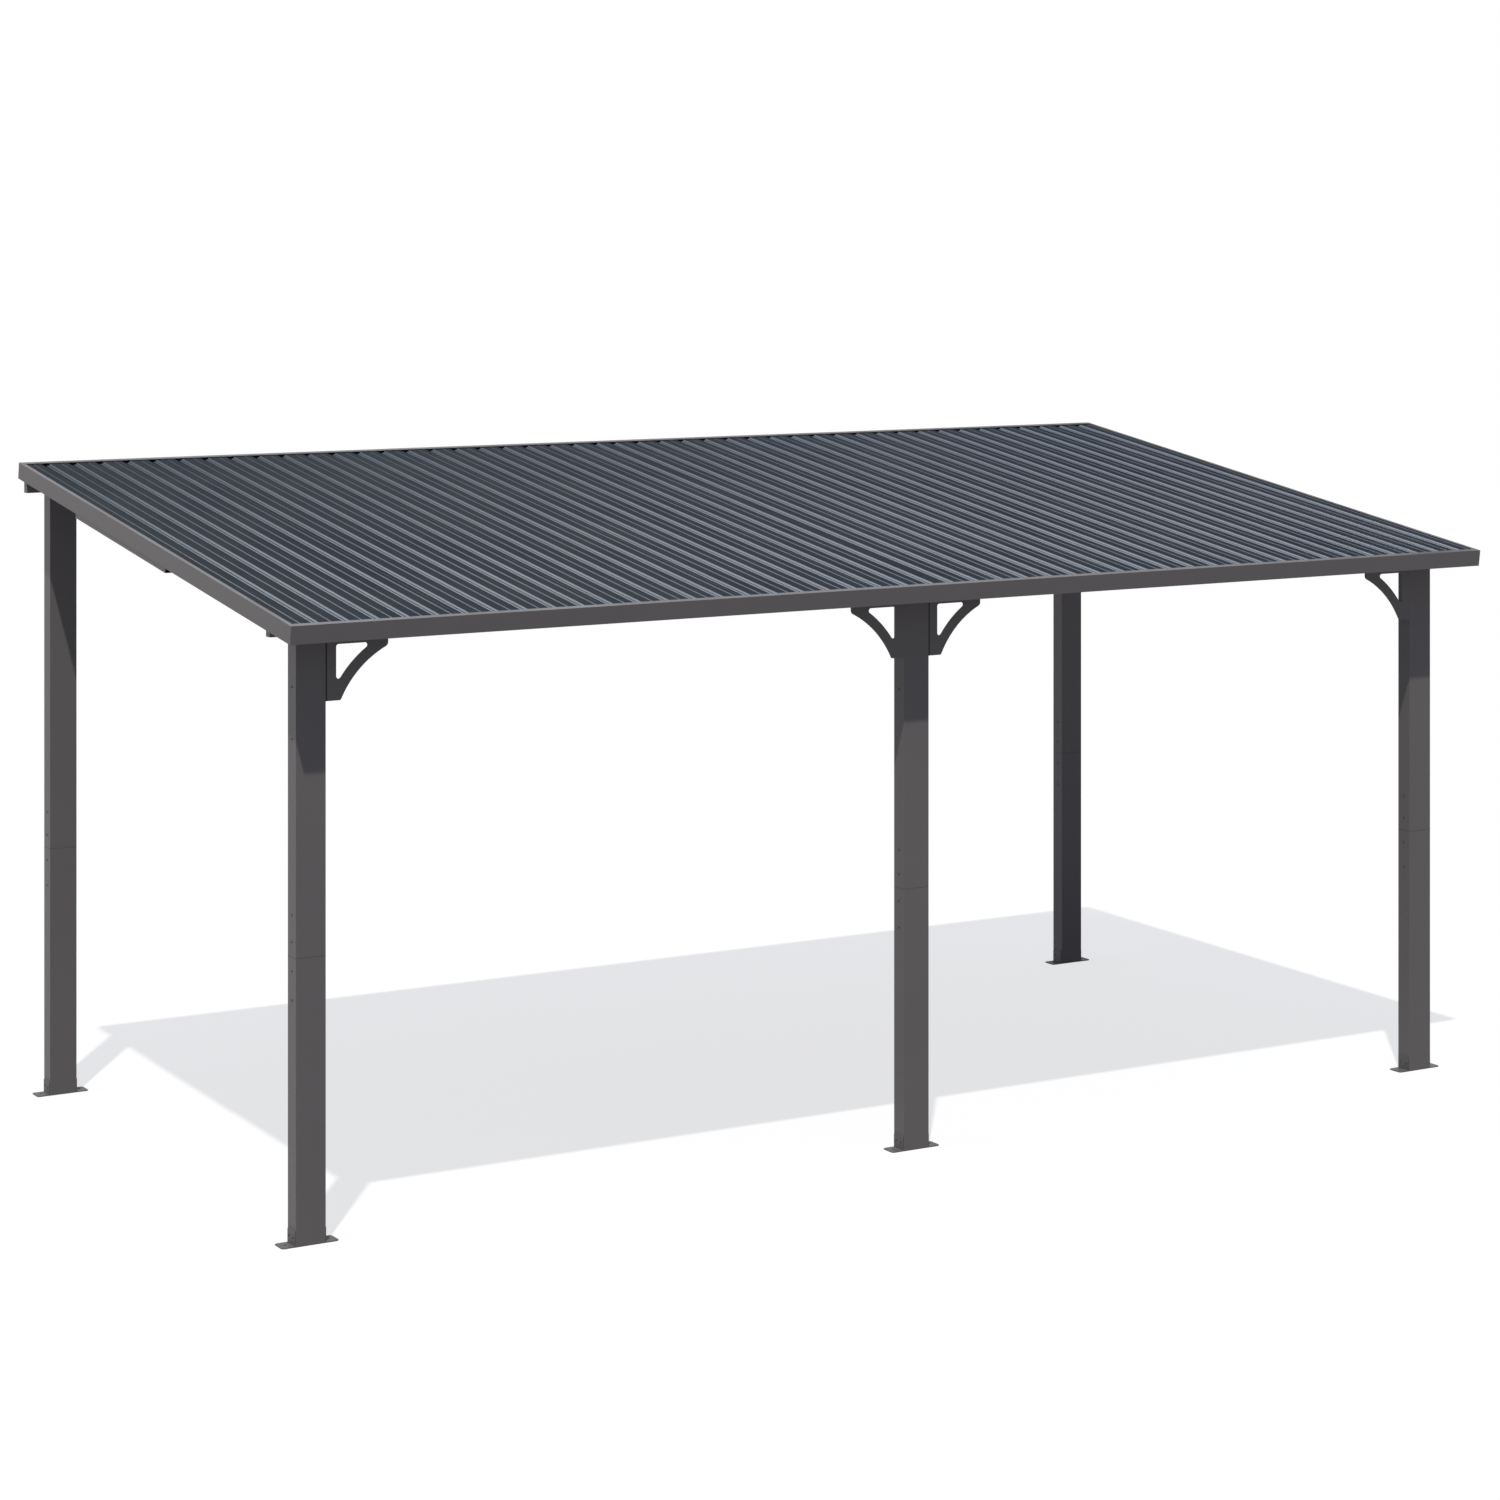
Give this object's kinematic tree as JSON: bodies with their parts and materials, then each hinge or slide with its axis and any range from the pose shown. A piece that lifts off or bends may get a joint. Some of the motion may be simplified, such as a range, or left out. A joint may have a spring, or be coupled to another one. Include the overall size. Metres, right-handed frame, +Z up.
{
  "type": "lean-to hardtop gazebo",
  "caption": "Open garden gazebo with a single-slope profiled metal roof on rectangular tube posts, with arched corner braces and bolt-down feet.",
  "frame": {"origin": "on the ground, under the middle of the box round the whole gazebo", "axes": "+X along the long side, to the right seen from the low front; +Y from the low front to the high rear; +Z up"},
  "size_m": [5.686, 2.9528, 2.7336],
  "materials": {
    "frame_paint": "charcoal powder coat, satin",
    "roof_sheet": "blue-grey coil-coated sheet, satin",
    "foot_paint": "charcoal powder coat on folded steel"
  },
  "bodies": {
    "root": {"front_fascia": "frame_paint", "front_left_brace": "frame_paint", "front_left_foot": "foot_paint", "front_left_header": "frame_paint", "front_left_post_lower": "frame_paint", "front_left_post_upper": "frame_paint", "front_middle_foot": "foot_paint", "front_middle_left_brace": "frame_paint", "front_middle_post_lower": "frame_paint", "front_middle_post_upper": "frame_paint", "front_middle_right_brace": "frame_paint", "front_purlins": "frame_paint", "front_right_brace": "frame_paint", "front_right_foot": "foot_paint", "front_right_header": "frame_paint", "front_right_post_lower": "frame_paint", "front_right_post_upper": "frame_paint", "left_fascia": "frame_paint", "left_outrigger": "frame_paint", "left_rafter": "frame_paint", "middle_rafter": "frame_paint", "post_sleeves": "frame_paint", "rear_fascia": "frame_paint", "rear_header_splice": "frame_paint", "rear_left_foot": "foot_paint", "rear_left_header": "frame_paint", "rear_left_post_lower": "frame_paint", "rear_left_post_upper": "frame_paint", "rear_purlins": "frame_paint", "rear_right_foot": "foot_paint", "rear_right_header": "frame_paint", "rear_right_post_lower": "frame_paint", "rear_right_post_upper": "frame_paint", "right_fascia": "frame_paint", "right_outrigger": "frame_paint", "right_rafter": "frame_paint", "roof_panel_1": "roof_sheet", "roof_panel_2": "roof_sheet", "roof_panel_3": "roof_sheet", "roof_panel_4": "roof_sheet", "roof_panel_5": "roof_sheet", "roof_panel_6": "roof_sheet", "roof_panel_7": "roof_sheet", "roof_panel_8": "roof_sheet", "roof_panel_9": "roof_sheet"}
  },
  "joints": []
}
